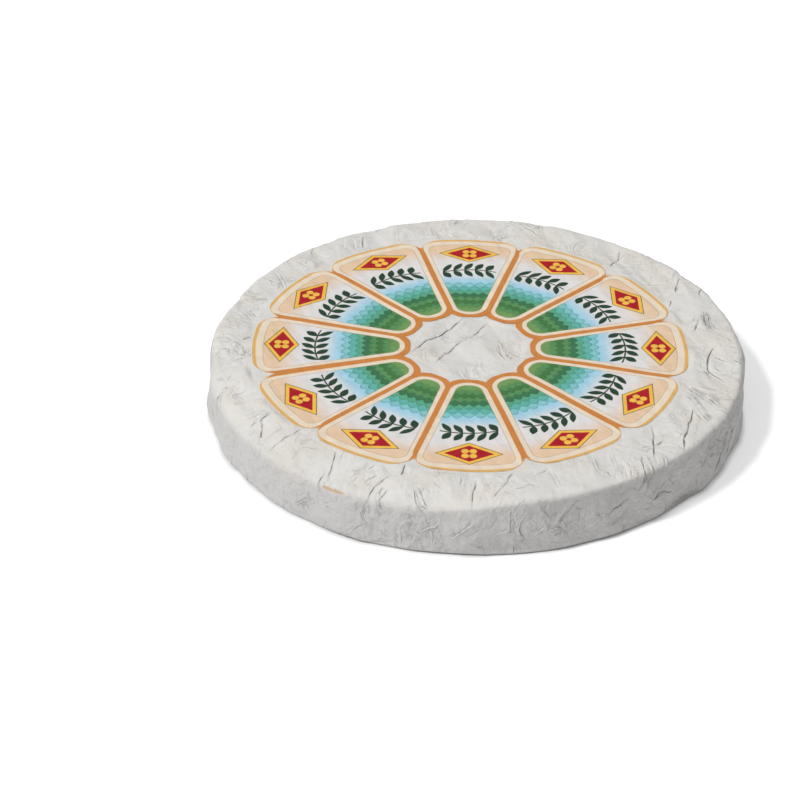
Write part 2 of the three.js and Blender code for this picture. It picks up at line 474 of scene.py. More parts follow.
def geometry_tree(name, sizes):
    """An empty geometry tree with a geometry in and out, and these named inputs: (socket kind, default)."""
    tree = bpy.data.node_groups.new(name, "GeometryNodeTree")
    tree.interface.new_socket("Geometry", in_out="INPUT", socket_type="NodeSocketGeometry")
    tree.interface.new_socket("Geometry", in_out="OUTPUT", socket_type="NodeSocketGeometry")
    for title, (kind, default) in sizes.items():
        socket = tree.interface.new_socket(title, in_out="INPUT", socket_type="NodeSocket" + kind)
        if default is not None:
            socket.default_value = default
    entry = tree.nodes.new("NodeGroupInput")
    return tree, entry.outputs


def finish_tree(tree, geometry, material):
    """Ends a geometry tree in real geometry with its material."""
    real = add(tree, "GeometryNodeRealizeInstances", {0: geometry}).outputs[0]
    painted = add(tree, "GeometryNodeSetMaterial", {"Geometry": real, "Material": material}).outputs[0]
    add(tree, "NodeGroupOutput", {0: painted})


def run_tree(piece, tree, values):
    """Runs a geometry tree on a piece with these inputs, and leaves the piece as a plain mesh."""
    modifier = piece.modifiers.new(tree.name, "NODES")
    modifier.node_group = tree
    for item in tree.interface.items_tree:
        if item.in_out == "INPUT" and item.name in values:
            modifier[item.identifier] = values[item.name]
    depsgraph = bpy.context.evaluated_depsgraph_get()
    mesh = bpy.data.meshes.new_from_object(piece.evaluated_get(depsgraph), depsgraph=depsgraph)
    mesh.name = piece.name
    piece.modifiers.clear()
    piece.data = mesh


def new_piece(name, mesh=None):
    piece = bpy.data.objects.new(name, mesh or bpy.data.meshes.new(name))
    bpy.context.scene.collection.objects.link(piece)
    return piece


# The rind


def smoothstep(value, start, end):
    part = np.clip((value - start) / (end - start), 0, 1)
    return part * part * (3 - 2 * part)


def heading_to(turn):
    """The level direction at this turn."""
    return np.array([math.cos(turn), math.sin(turn)])


def turned_from(turn, other):
    """How far each turn is from the other one, up to half a turn to either side."""
    return np.angle(np.exp(1j * (turn - other)))


def steps(start, end, step):
    """Even steps from just past start to end, about this long."""
    count = max(1, round(abs(end - start) / step))
    return [start + (end - start) * (i + 1) / count for i in range(count)]


def section_points():
    """The section from the middle of the top round to the base: distance out, height, the angle at which it
    faces above level, and the run along the skin."""
    top_flat = WHEEL_RADIUS - TOP_EDGE_ROUND
    base_flat = WHEEL_RADIUS - BASE_EDGE_ROUND
    side_top = WHEEL_HEIGHT - TOP_EDGE_ROUND
    quarter = math.pi / 2
    points = []
    inside = steps(0, FINE_MIDDLE, FINE_STEP)
    outside = steps(FINE_RIM, top_flat, FINE_STEP)
    for out in [*inside, *steps(FINE_MIDDLE, FINE_RIM, LABEL_STEP), *outside]:
        points.append((out, WHEEL_HEIGHT, quarter, out))
    run = top_flat
    for turned in steps(0, quarter, FINE_STEP / TOP_EDGE_ROUND):
        out = top_flat + TOP_EDGE_ROUND * math.sin(turned)
        up = side_top + TOP_EDGE_ROUND * math.cos(turned)
        points.append((out, up, quarter - turned, run + TOP_EDGE_ROUND * turned))
    run += TOP_EDGE_ROUND * quarter
    for down in steps(0, side_top - BASE_EDGE_ROUND, FINE_STEP):
        share = down / (side_top - BASE_EDGE_ROUND)
        out = WHEEL_RADIUS + SIDE_BULGE * math.sin(math.pi * share)
        lean = -SIDE_BULGE * math.pi / side_top * math.cos(math.pi * share)
        points.append((out, side_top - down, -lean, run + down))
    run += side_top - BASE_EDGE_ROUND
    for turned in steps(0, quarter, FINE_STEP / BASE_EDGE_ROUND):
        out = base_flat + BASE_EDGE_ROUND * math.cos(turned)
        up = BASE_EDGE_ROUND * (1 - math.sin(turned))
        points.append((out, up, -turned, run + BASE_EDGE_ROUND * turned))
    run += BASE_EDGE_ROUND * quarter
    for out in BASE_RINGS:
        points.append((out, 0.0, -quarter, run + base_flat - out))
    return points


def sectors_at(out, up):
    """How many points a ring has, so that they are close where the rind shows."""
    on_base = up == 0.0
    hidden = on_base or FINE_MIDDLE < out < FINE_RIM
    widest = WIDEST_UNDER_LABELS * (4 if on_base else 1) if hidden else WIDEST_SPACING
    count = SECTORS
    while 2 * math.pi * out / (count / 2) <= widest and count > 17:
        count //= 2
    return count


def join_rings(inner, outer):
    """The faces between two rings of points: equal rings, or one with twice the points of the other."""
    faces = []
    if len(inner) == len(outer):
        for j, start in enumerate(inner):
            after = (j + 1) % len(inner)
            faces.append((start, outer[j], outer[after], inner[after]))
    elif len(outer) == 2 * len(inner):
        for j, start in enumerate(inner):
            after = inner[(j + 1) % len(inner)]
            first, middle, last = outer[2 * j], outer[2 * j + 1], outer[(2 * j + 2) % len(outer)]
            faces += [(start, first, middle), (start, middle, after), (after, middle, last)]
    else:
        for j, start in enumerate(outer):
            after = outer[(j + 1) % len(outer)]
            first, middle, last = inner[2 * j], inner[2 * j + 1], inner[(2 * j + 2) % len(inner)]
            faces += [(first, start, middle), (middle, start, after), (middle, after, last)]
    return faces


def sag(out, turn):
    """How far the rim sinks at this distance and direction from the middle."""
    away = np.abs(turned_from(turn, SAG_TURN))
    share = np.clip((out - SAG_START) / (WHEEL_RADIUS - SAG_START), 0, 1)
    return SAG_DEPTH * (1 - smoothstep(away, SAG_FULL, SAG_END)) * share**SAG_CURVE


def wheel_mesh():
    """The smooth wheel as a closed mesh, with each point's outward direction, run and turn."""
    rows = [(0.0, WHEEL_HEIGHT, math.pi / 2, 0.0, 0.0)]
    rings = [[0]]
    counts = []
    section = section_points()
    for out, up, _, _ in section:
        wanted = sectors_at(out, up)
        if counts:
            wanted = max(min(wanted, counts[-1] * 2), counts[-1] // 2)
        counts.append(wanted)
    for (out, up, facing, run), count in zip(section, counts):
        rings.append(list(range(len(rows), len(rows) + count)))
        rows += [(out, up, facing, run, 2 * math.pi * j / count) for j in range(count)]
    last = len(rows)
    rows.append((0.0, 0.0, -math.pi / 2, section[-1][3] + section[-1][0], 0.0))
    faces = []
    first_ring, last_ring = rings[1], rings[-1]
    for j, point in enumerate(first_ring):
        faces.append((0, point, first_ring[(j + 1) % len(first_ring)]))
    for inner, outer in zip(rings[1:], rings[2:]):
        faces += join_rings(inner, outer)
    for j, point in enumerate(last_ring):
        faces.append((point, last, last_ring[(j + 1) % len(last_ring)]))
    out, up, facing, run, turn = np.array(rows).T
    up = up * (1 - sag(out, turn) / WHEEL_HEIGHT)
    places = np.stack([out * np.cos(turn), out * np.sin(turn), up], axis=1)
    level = np.cos(facing)
    outward = np.stack([level * np.cos(turn), level * np.sin(turn), np.sin(facing)], axis=1)
    mesh = bpy.data.meshes.new("rind")
    mesh.from_pydata(places.tolist(), [], faces)
    return mesh, places, outward, run, turn


def add_fold(relief, flat, middle, heading, length, width, height, lean, bend):
    """Adds one fold to the relief of the flattened skin: a ridge or valley of two flat faces. Lean under 1
    makes the face on one side the steeper, and bend curves the fold."""
    offset = flat - middle
    near = np.flatnonzero(np.abs(offset).max(axis=1) < length + width)
    ahead = heading_to(heading)
    along = offset[near] @ ahead
    across = offset[near] @ np.array([-ahead[1], ahead[0]]) + bend * along**2
    fade = np.clip(1 - (along / length) ** 2, 0, 1) ** 1.5
    breadth = np.where(across > 0, width, width * lean)
    relief[near] += height * fade * np.clip(1 - np.abs(across) / breadth, 0, 1)


def scattered(draw):
    """The turn and the run of a place drawn from anywhere on the flattened skin."""
    turn = draw.uniform(0, 2 * math.pi)
    return turn, SKIN_REACH * math.sqrt(draw.uniform(0, 1))


def add_folds(relief, flat, draw, count, length, width, height, valleys):
    """Folds scattered over the flattened skin. Out at the rim most of them run outwards, over the edge."""
    for _ in range(count):
        turn, run = scattered(draw)
        middle = run * heading_to(turn)
        if run > FINE_RIM and draw.random() > ALONG_RIM:
            heading = turn + draw.uniform(-0.6, 0.6)
        else:
            heading = draw.uniform(0, math.pi)
        tall = draw.uniform(*height) * (-1 if draw.random() < valleys else 1)
        wide = draw.uniform(*width)
        lean = draw.uniform(0.1, 0.4) if draw.random() < 0.7 else 1
        long = draw.uniform(*length)
        bend = draw.uniform(-0.25, 0.25) / long
        add_fold(relief, flat, middle, heading, long, wide, tall, lean, bend)


def add_crinkle_folds(relief, flat, draw):
    """Small sharp folds, close together, in the finely crinkled spots."""
    for turn, run, breadth, strength in CRINKLES:
        middle = on_flat([(turn, run)])[0]
        for _ in range(round(CRINKLE_FOLDS * breadth * strength)):
            away = breadth * MM * math.sqrt(draw.uniform(0, 0.9))
            place = middle + away * heading_to(draw.uniform(0, 2 * math.pi))
            tall = strength * draw.uniform(*CRINKLE_HEIGHT) * MM
            tall *= -1 if draw.random() < CRINKLE_VALLEYS else 1
            long = draw.uniform(*CRINKLE_LENGTH) * MM
            wide = draw.uniform(*CRINKLE_WIDTH) * MM
            heading = draw.uniform(0, math.pi)
            lean = draw.uniform(0.4, 1)
            add_fold(relief, flat, place, heading, long, wide, tall, lean, 0.0)


def on_flat(points):
    """The points of the flattened skin that have these turns in degrees and runs in millimetres."""
    turns, runs = np.array(points, float).T
    return np.stack([np.cos(np.radians(turns)), np.sin(np.radians(turns))], axis=1) * runs[:, None] * MM


def small_creases(draw):
    """Short crooked creases scattered over the flattened skin. Out at the rim most run outwards."""
    creases = []
    for _ in range(SMALL_CREASES):
        turn, run = scattered(draw)
        heading = turn + draw.uniform(-1, 1) if run > FINE_RIM else draw.uniform(0, math.pi)
        points = [run * heading_to(turn)]
        for _ in range(draw.randint(2, 5)):
            heading += draw.uniform(-SMALL_TURN, SMALL_TURN)
            points.append(points[-1] + heading_to(heading) * draw.uniform(*SMALL_LENGTH))
        ridge = draw.random() < SMALL_RIDGES
        creases.append((np.stack(points), draw.uniform(*SMALL_DEPTH) * (-1 if ridge else 1)))
    return creases


def wobbled(flat, draw):
    """The points of the flattened skin, each moved a little by a few crossing waves."""
    places = flat.copy()
    for _ in range(WOBBLE_WAVES):
        heading, other = draw.uniform(0, 2 * math.pi), draw.uniform(0, 2 * math.pi)
        wave = 2 * math.pi / draw.uniform(*WOBBLE_LENGTH)
        sway = np.sin(flat @ heading_to(heading) * wave + draw.uniform(0, 2 * math.pi))
        places += WOBBLE * sway[:, None] * heading_to(other)
    return places


def lay_creases(flat, creases):
    """For each point of the flattened skin, how far it is to one side of the crease that marks it most, and
    how deep that crease is there."""
    offset = np.full(len(flat), CREASE_REACH)
    depth_here = np.zeros(len(flat))
    mark = np.zeros(len(flat))
    for ends, depth in creases:
        spans = np.diff(ends, axis=0)
        lengths = np.linalg.norm(spans, axis=1)
        reach = lengths.sum() / 2 + CREASE_REACH
        middle = (ends.min(axis=0) + ends.max(axis=0)) / 2
        near = np.flatnonzero(np.abs(flat - middle).max(axis=1) < reach)
        best = np.full(len(near), np.inf)
        signed = np.zeros(len(near))
        share = np.zeros(len(near))
        done = 0.0
        for start, span, length in zip(ends, spans, lengths):
            away = flat[near] - start
            part = np.clip(away @ span / length**2, 0, 1)
            distance = np.linalg.norm(away - part[:, None] * span, axis=1)
            side = np.where(span[0] * away[:, 1] - span[1] * away[:, 0] < 0, -1.0, 1.0)
            closer = distance < best
            best[closer] = distance[closer]
            signed[closer] = (side * distance)[closer]
            share[closer] = ((done + part * length) / lengths.sum())[closer]
            done += length
        fade = smoothstep(np.minimum(share, 1 - share), -0.03, 0.25)
        strength = abs(depth) * fade * (1 - smoothstep(best, 0.7 * CREASE_REACH, CREASE_REACH))
        marks = strength * (1.2 - best / CREASE_REACH)
        stronger = marks > mark[near]
        chosen = near[stronger]
        mark[chosen] = marks[stronger]
        offset[chosen] = signed[stronger]
        depth_here[chosen] = (strength * np.sign(depth))[stronger]
    return offset, depth_here


def crease_relief(offset, depth):
    """The height of the creases in the mesh: a valley with a low lip on one side, or a ridge where the depth
    is below nothing."""
    valley = -np.exp(-((offset / CREASE_BREADTH) ** 2))
    lip = 0.5 * np.exp(-(((offset - 1.9 * CREASE_BREADTH) / (1.3 * CREASE_BREADTH)) ** 2))
    return 0.6 * MM * depth * (valley + lip)


def edge_ridges(run, turn):
    """How far the sharp stretches of the top edge stand out."""
    middle = WHEEL_RADIUS - TOP_EDGE_ROUND + TOP_EDGE_ROUND * math.pi / 4
    height = np.zeros(len(run))
    for degrees, half, tall in EDGE_RIDGES:
        away = np.degrees(turned_from(turn, math.radians(degrees)))
        height = np.maximum(height, tall * np.exp(-((away / half) ** 4)))
    return height * np.clip(1 - np.abs(run - middle) / EDGE_RIDGE_BREADTH, 0, 1)


def crinkle_share(flat):
    """How finely crinkled each point of the flattened skin is, from 0 to 1, by the list of crinkled spots."""
    share = np.zeros(len(flat))
    for turn, run, breadth, strength in CRINKLES:
        away = np.linalg.norm(flat - on_flat([(turn, run)])[0], axis=1) / (breadth * MM)
        share = np.maximum(share, strength * np.exp(-(away**4)))
    return share


def under_labels(places, margin):
    """1 under the ring of labels and up to this far from it, and 0 clear of it, for each point of the top."""
    out = np.hypot(places[:, 0] - RING_MIDDLE[0], places[:, 1] - RING_MIDDLE[1])
    inside = smoothstep(out, LABEL_INNER - margin - MARGIN_FADE, LABEL_INNER - margin)
    outside = smoothstep(out, LABEL_OUTER + margin, LABEL_OUTER + margin + MARGIN_FADE)
    on_top = places[:, 2] > WHEEL_HEIGHT - 1 * MM
    return inside * (1 - outside) * on_top


def store(mesh, name, kind, values):
    attribute = mesh.attributes.new(name, kind, "POINT")
    field = "vector" if kind == "FLOAT_VECTOR" else "value"
    attribute.data.foreach_set(field, np.asarray(values, np.float32).ravel())


def map_rind(mesh, places, run, turn):
    """The rind's texture map: the top and side rolled out flat in one disc, and the base in a smaller one."""
    base_run = run[np.argmax(places[:, 2] == 0.0)]
    reach = run.max()
    corners = np.empty(len(mesh.loops), int)
    mesh.loops.foreach_get("vertex_index", corners)
    faces = np.repeat(np.arange(len(mesh.polygons)), [len(p.vertices) for p in mesh.polygons])
    face_run = np.bincount(faces, run[corners]) / np.bincount(faces)
    on_base = face_run[faces] > base_run
    outer, inner = SKIN_ON_MAP, BASE_ON_MAP
    skin = run[corners] / base_run * outer[2]
    base = (reach - run[corners]) / (reach - base_run) * inner[2]
    radius = np.where(on_base, base, skin)
    middle_u = np.where(on_base, inner[0], outer[0])
    middle_v = np.where(on_base, inner[1], outer[1])
    sense = np.where(on_base, -1, 1)
    u = middle_u + sense * radius * np.cos(turn[corners])
    v = middle_v + radius * np.sin(turn[corners])
    mesh.uv_layers.new(name="OFBake").data.foreach_set("uv", np.stack([u, v], axis=1).ravel())


def worn(run, turn):
    """How worn each point is, from 0 to 1, by the list of scuffs."""
    wear = np.zeros(len(run))
    for degrees, middle, length, breadth, strength in SCUFFS:
        round_edge = WHEEL_RADIUS * turned_from(turn, math.radians(degrees))
        spread = (round_edge / (length * MM)) ** 4 + ((run - middle * MM) / (breadth * MM)) ** 2
        wear = np.maximum(wear, strength * np.exp(-spread))
    return wear


def rind_tree():
    """Geometry Nodes: lays the smooth wheel on the solid, and then gives it its folds and fine wrinkles."""
    sizes = {
        "Solid": ("Object", None),
        "Reach": ("Float", SOLID_REACH),
        "Smoothing": ("Int", SMOOTHING),
        "Fold Height": ("Float", 1.0),
        "Facet Height": ("Float", 1.0),
        "Lump Height": ("Float", 0.3 * MM),
        "Material": ("Material", None),
    }
    tree, given = geometry_tree("Rind Skin", sizes)
    position = add(tree, "GeometryNodeInputPosition").outputs[0]
    outward = attribute_of(tree, "outward", "FLOAT_VECTOR")
    free = Number(tree, attribute_of(tree, "free"))
    fold = Number(tree, attribute_of(tree, "fold"))
    reach = Number(tree, given["Reach"])
    start = plus(tree, position, scaled(tree, outward, reach))
    ray = ray_from(tree, start, scaled(tree, outward, -1.0), 2 * reach, geometry_of(tree, given["Solid"]))
    lift = (reach - Number(tree, ray["Hit Distance"])) * Number(tree, ray["Is Hit"])
    even = evened(tree, lift, given["Smoothing"])
    facets = folded(tree, position, LARGE_FACET, LARGE_TILT)
    lumps = (noise(tree, position, LUMP_SIZE, 3.0, 0.55) - 0.5) * 2.0 * Number(tree, given["Lump Height"])
    crumpled = (facets * Number(tree, given["Facet Height"]) + lumps) * free
    total = even + fold * Number(tree, given["Fold Height"]) + crumpled
    x, y, z = parts_of(tree, plus(tree, position, scaled(tree, outward, total)))
    skin = moved(tree, given["Geometry"], vector_of(tree, x, y, z.above(0.0)))
    smooth = add(tree, "GeometryNodeSetShadeSmooth", {"Geometry": skin, "Shade Smooth": True}).outputs[0]
    finish_tree(tree, smooth, given["Material"])
    return tree


def rind_material(settings):
    """Chalky white bloom, a little warmer in patches, with grey specks, painted shade greying the creases and
    the side, and brown where worn.
    """
    material, tree, shader = new_material("rind")
    where = add(tree, "ShaderNodeTexCoord").outputs["Object"]
    patches = noise(tree, where, 32 * MM, 4.0, 0.6)
    specks = noise(tree, where, 3.2 * MM, 5.0, 0.65)
    fibres = noise(tree, where, 0.9 * MM, 3.0, 0.6)

    def read(name):
        return Number(tree, add(tree, "ShaderNodeAttribute", attribute_name=name).outputs["Fac"])

    frayed = (noise(tree, where, 1.6 * MM, 2.0, 0.6) - 0.5) * (0.9 * MM)
    offset = read("crease_offset") + frayed
    depth = read("crease_depth") * ramp(noise(tree, where, 5 * MM), 0.35, 0.65, 0.35, 1.3)
    valley = abs(offset).under(CREASE_LINE, 1.6 * CREASE_LINE)
    lip = abs(offset - LIP_OFFSET).under(0.5 * LIP_OFFSET, LIP_OFFSET)
    crinkles = crinkled(tree, where, 5.5 * MM, 0.07) * read("crinkle")
    hairlines = crinkled(tree, where, 11 * MM, 0.012) * ramp(noise(tree, where, 17 * MM), 0.5, 0.62)
    # Painted shade: the rind is greyed along the creases' valleys, the fine crinkle lines and the hairlines,
    # where shade falls in them.
    painted_crease_shade = (valley * depth.above(0.0) * 0.26).above(crinkles * 0.3).above(hairlines * 0.15)
    grain = noise(tree, where, 2.2 * MM, 6.0, 0.75)
    wear = ramp(read("scuff") + (grain - 0.5) * 1.3, 0.35, 0.75)
    layers = [
        (ramp(patches, 0.38, 0.66), settings.warm),
        # Painted shade: the rind greyed down the side, where less light falls on it than on the top.
        (read("side") * 0.75, settings.side),
        (ramp(specks, 0.52, 0.75, 0.0, 0.2), settings.speck_and_crease_shade),
        (painted_crease_shade, settings.speck_and_crease_shade),
        (wear, settings.scuff),
    ]
    colour = opaque(settings.bloom)
    for share, layer in layers:
        colour = mixed(tree, share, colour, layer)
    calm = ramp(noise(tree, where, 30 * MM), 0.4, 0.6, 0.3, 1.0)
    creased = (lip * 0.85 - valley * 0.42) * depth * MM
    creased = creased - crinkles * (0.6 * MM) - hairlines * (0.08 * MM)
    wrinkles = abs(noise(tree, where, 3.5 * MM, 3.0, 0.6) - 0.5) * (1.2 * MM)
    lumps = abs(noise(tree, where, 8 * MM, 2.0, 0.5) - 0.5) * read("side") * (3.0 * MM)
    skin = (folded(tree, where, SMALL_FACET, SMALL_TILT) + wrinkles) * calm + lumps
    height = skin + creased + specks * (0.1 * MM) + fibres * (0.05 * MM)
    finish = {
        "Base Color": colour,
        "Roughness": ramp(specks, 0.3, 0.7, 0.78, 0.95),
        "Specular IOR Level": 0.3,
        "Sheen Weight": 0.12,
        "Sheen Roughness": 0.6,
        "Normal": bumped(tree, height),
    }
    fill(tree, shader, finish)
    return material


# The labels


def label_tree():
    """Geometry Nodes: one paper label, as a grid drawn out to a rounded wedge, laid on the rind and given
    its thickness. Its clockwise side lies over the next label."""
    sizes = {
        "Rind": ("Object", None),
        "Columns": ("Int", LABEL_COLUMNS),
        "Rows": ("Int", LABEL_ROWS),
        "Inner End": ("Float", LABEL_INNER),
        "Outer End": ("Float", LABEL_OUTER),
        "Inner Corner": ("Float", LABEL_INNER_CORNER),
        "Outer Corner": ("Float", LABEL_OUTER_CORNER),
        "Half Angle": ("Float", HALF_PORTION),
        "Overlap": ("Float", 1.75 * MM),
        "Turn": ("Float", 0.0),
        "Middle": ("Vector", (0.0, 0.0, 0.0)),
        "Thickness": ("Float", 0.1 * MM),
        "Lift": ("Float", 0.1 * MM),
        "Lap Lift": ("Float", 0.15 * MM),
        "Ripple": ("Float", 0.12 * MM),
        "Material": ("Material", None),
    }
    tree, given = geometry_tree("Label Sheet", sizes)
    size = {name: Number(tree, given[name]) for name, (kind, _) in sizes.items() if kind == "Float"}
    counts = {"Size X": 1.0, "Size Y": 1.0, "Vertices X": given["Columns"], "Vertices Y": given["Rows"]}
    grid = add(tree, "GeometryNodeMeshGrid", counts).outputs["Mesh"]
    across, row, _ = parts_of(tree, add(tree, "GeometryNodeInputPosition").outputs[0])
    across = across * 2.0
    share = 0.5 - ((row + 0.5) * math.pi).sum("COSINE") * 0.5
    inner, outer, overlap = size["Inner End"], size["Outer End"], size["Overlap"]
    along = inner + (outer - inner) * share
    sine = size["Half Angle"].sum("SINE")
    cosine = size["Half Angle"].sum("COSINE")

    def corner(middle, radius):
        reach = (radius * radius - (along - middle) * (along - middle)).above(0.0).sum("SQRT")
        return (middle * sine + overlap - radius) / cosine + reach

    inner_middle = inner + size["Inner Corner"]
    outer_middle = outer - size["Outer Corner"]
    at_inner = along.sum("LESS_THAN", inner_middle - size["Inner Corner"] * sine)
    at_outer = along.sum("GREATER_THAN", outer_middle - size["Outer Corner"] * sine)
    straight = (along * sine + overlap) / cosine
    half_width = (
        straight * (1.0 - at_inner - at_outer)
        + corner(inner_middle, size["Inner Corner"]) * at_inner
        + corner(outer_middle, size["Outer Corner"]) * at_outer
    )
    swing = across * (half_width / along).sum("ARCTANGENT")
    bow = 1.0 - ramp(along, inner, outer)
    out = along / swing.sum("COSINE") ** bow
    breadth = out * swing.sum("SINE")
    length = out * swing.sum("COSINE")
    turn = swing + size["Turn"]
    middle_x, middle_y, _ = parts_of(tree, given["Middle"])
    x = middle_x + out * turn.sum("SINE")
    y = middle_y + out * turn.sum("COSINE")
    lap = ramp((1.0 - across) * half_width, 2.2 * overlap, 3.6 * overlap, 1.0, 0.0)

    where_flat = vector_of(tree, breadth / LABEL_MAP_BREADTH + 0.5, length / LABEL_MAP_LENGTH, 0.0)
    mapped = with_attribute(tree, grid, "LabelMap", where_flat, "FLOAT_VECTOR")
    lapped = with_attribute(tree, mapped, "lap", lap, "FLOAT")
    flat = moved(tree, lapped, vector_of(tree, x, y, 2 * WHEEL_HEIGHT))

    spot = add(tree, "GeometryNodeInputPosition").outputs[0]
    ray = ray_from(tree, spot, (0.0, 0.0, -1.0), 0.1, geometry_of(tree, given["Rind"]))
    _, _, top = parts_of(tree, ray["Hit Position"])
    ripple = (noise(tree, spot, 14 * MM, 1.0) - 0.5).above(0.0) * size["Ripple"]
    lap_lift = size["Lap Lift"] * Number(tree, attribute_of(tree, "lap"))
    level = evened(tree, top, 2) + size["Lift"] + lap_lift + ripple
    flat_x, flat_y, _ = parts_of(tree, spot)
    laid = moved(tree, flat, vector_of(tree, flat_x, flat_y, level))

    sheet = {"Mesh": laid, "Offset": (0.0, 0.0, 1.0), "Offset Scale": size["Thickness"], "Individual": False}
    thick = add(tree, "GeometryNodeExtrudeMesh", sheet, mode="FACES").outputs
    rim = {"Geometry": thick["Mesh"], "Selection": thick["Side"], "Shade Smooth": False}
    upper = add(tree, "GeometryNodeSetShadeSmooth", rim).outputs[0]
    lower = add(tree, "GeometryNodeFlipFaces", {"Mesh": laid}).outputs[0]
    both = add(tree, "GeometryNodeJoinGeometry")
    tree.links.new(lower, both.inputs[0])
    tree.links.new(upper, both.inputs[0])
    seams = {"Geometry": both.outputs[0], "Distance": 0.001 * MM}
    closed = add(tree, "GeometryNodeMergeByDistance", seams).outputs[0]
    finish_tree(tree, closed, given["Material"])
    return tree


def label_material(settings):
    """Printed paper, worked out from the label's own map in millimetres: an orange outline, a cream band, a
    fine line, and a panel of soft colours with a lozenge, a leafy sprig and rows of scallops."""
    material, tree, shader = new_material("label")
    place = add(tree, "ShaderNodeAttribute", attribute_name="LabelMap").outputs["Vector"]
    u, v, _ = parts_of(tree, place)
    x = (u - 0.5) * (LABEL_MAP_BREADTH / MM)
    y = v * (LABEL_MAP_LENGTH / MM)
    grain = noise(tree, place, 0.03, 3.0, 0.6)
    wash = (grain - 0.5) * 5.0
    colour = opaque(settings.paper)

    def paint(share, ink, strength=1.0):
        nonlocal colour
        colour = mixed(tree, share * strength if strength < 1 else share, colour, ink)
    paint(ramp(y + wash, 102, 119), settings.peach)
    paint(ramp(y + wash, 91, 78), settings.sky)

    # Rows of scallops, from the pale ones in the middle of the label to the dark ones at its point
    rows = [
        (77.5, 6.8, 2.6, 0.0, settings.pale_teal),
        (73.5, 6.4, 2.6, 0.5, settings.teal),
        (69.0, 6.0, 2.6, 0.0, settings.sea_green),
        (65.0, 5.6, 2.4, 0.5, settings.dark_green),
        (60.8, 5.4, 2.4, 0.0, settings.green),
        (56.8, 5.0, 2.2, 0.5, settings.deep_green),
        (53.0, 4.8, 2.2, 0.0, settings.green),
        (49.2, 4.6, 2.0, 0.5, settings.light_green),
    ]
    for level, breadth, depth, shift, ink in rows:
        arch = abs(((x / breadth + shift) * math.pi).sum("COSINE"))
        edge = y + wash * 0.2 - arch * depth - (level - depth * 0.6)
        paint(edge.under(0.0, 0.3), ink)
        rim = (abs(edge + 0.2)).under(0.22, 0.3)
        paint(rim, settings.leaf, 0.6)
        vein = (abs(edge + 1.3)).under(0.14, 0.3)
        paint(vein, settings.leaf, 0.35)

    # The leafy sprig
    sprig_y = y - 94.5 + x * x * 0.01
    leaf_step = 6.8
    cell = x / leaf_step - (x / leaf_step).sum("ROUND")
    leaf_x = cell * leaf_step + 0.6
    leaf_y = abs(sprig_y) - 4.2
    tilt = math.radians(-33)
    along_leaf = leaf_y * math.cos(tilt) - leaf_x * math.sin(tilt)
    across_leaf = leaf_x * math.cos(tilt) + leaf_y * math.sin(tilt)
    blade = abs(across_leaf) - (1.0 - (along_leaf / 4.9) ** 2.0) * 2.15
    leaves = blade.under(0.0, 0.3) * abs(x).under(2.5 * leaf_step, 0.1)
    stem = (abs(sprig_y) - 0.5).under(0.0, 0.3) * abs(x).under(2.5 * leaf_step, 0.3)
    paint(leaves.above(stem), settings.ink)

    # The lozenge, with its golden border, and a small four-petalled flower in it
    flower_y = y - 114.8
    lozenge = abs(x) / 18.0 + abs(flower_y) / 9.8
    paint(lozenge.under(1.10, 0.03), settings.ink)
    paint(lozenge.under(1.05, 0.03), settings.gold)
    paint(lozenge.under(0.80, 0.03), settings.red)
    petal_x, petal_y = abs(x) - 2.3, abs(flower_y) - 2.3
    paint(hypotenuse(petal_x, petal_y).under(2.2, 0.3), settings.gold)
    paint(hypotenuse(x, flower_y).under(1.3, 0.3), settings.red)

    # How far inside the label's edge, with its corners rounded
    radius = hypotenuse(x, y)
    side = abs(x) * math.cos(HALF_PORTION) - y * math.sin(HALF_PORTION) - settings.overlap / MM
    outer, inner = radius - LABEL_OUTER / MM, LABEL_INNER / MM - y

    def rounded(end, corner):
        past_side, past_end = side + corner, end + corner
        beyond = hypotenuse(past_side.above(0.0), past_end.above(0.0))
        return beyond + past_side.above(past_end).below(0.0) - corner

    edge = rounded(outer, LABEL_OUTER_CORNER / MM).above(rounded(inner, LABEL_INNER_CORNER / MM))
    outline = settings.outline / MM
    band = outline + settings.band / MM
    at_end = ramp(outer + (LABEL_OUTER_CORNER / MM) * 0.6, -3.0, 3.0)
    width_here = outline * (1.0 - at_end * 0.4)
    paint((edge + band).over(0.0, 0.25), settings.cream)
    paint((abs(edge + band)).under(0.16, 0.25), settings.line, 0.7)
    paint((edge + width_here).over(0.0, 0.3), settings.orange)
    paint((edge + width_here).over(0.0, 0.3) * at_end, settings.end_orange)

    where = add(tree, "ShaderNodeTexCoord").outputs["Object"]
    finish = {
        "Base Color": colour,
        "Roughness": ramp(grain, 0.3, 0.7, 0.42, 0.55),
        "Specular IOR Level": 0.35,
        "Normal": bumped(tree, folded(tree, where, SMALL_FACET, 0.6 * SMALL_TILT)),
    }
    fill(tree, shader, finish)
    return material


# The settings that a user would change


def number_setting(name, description, default, **kind):
    return bpy.props.FloatProperty(name=name, description=description, default=default, **kind)


def length_setting(name, description, default):
    return number_setting(name, description, default, unit="LENGTH", precision=5)


def angle_setting(name, description, degrees):
    return number_setting(name, description, math.radians(degrees), subtype="ANGLE")


def colour_setting(name, description, *colour):
    return bpy.props.FloatVectorProperty(
        name=name, description=description, default=shade(*colour), subtype="COLOR", min=0, max=1
    )


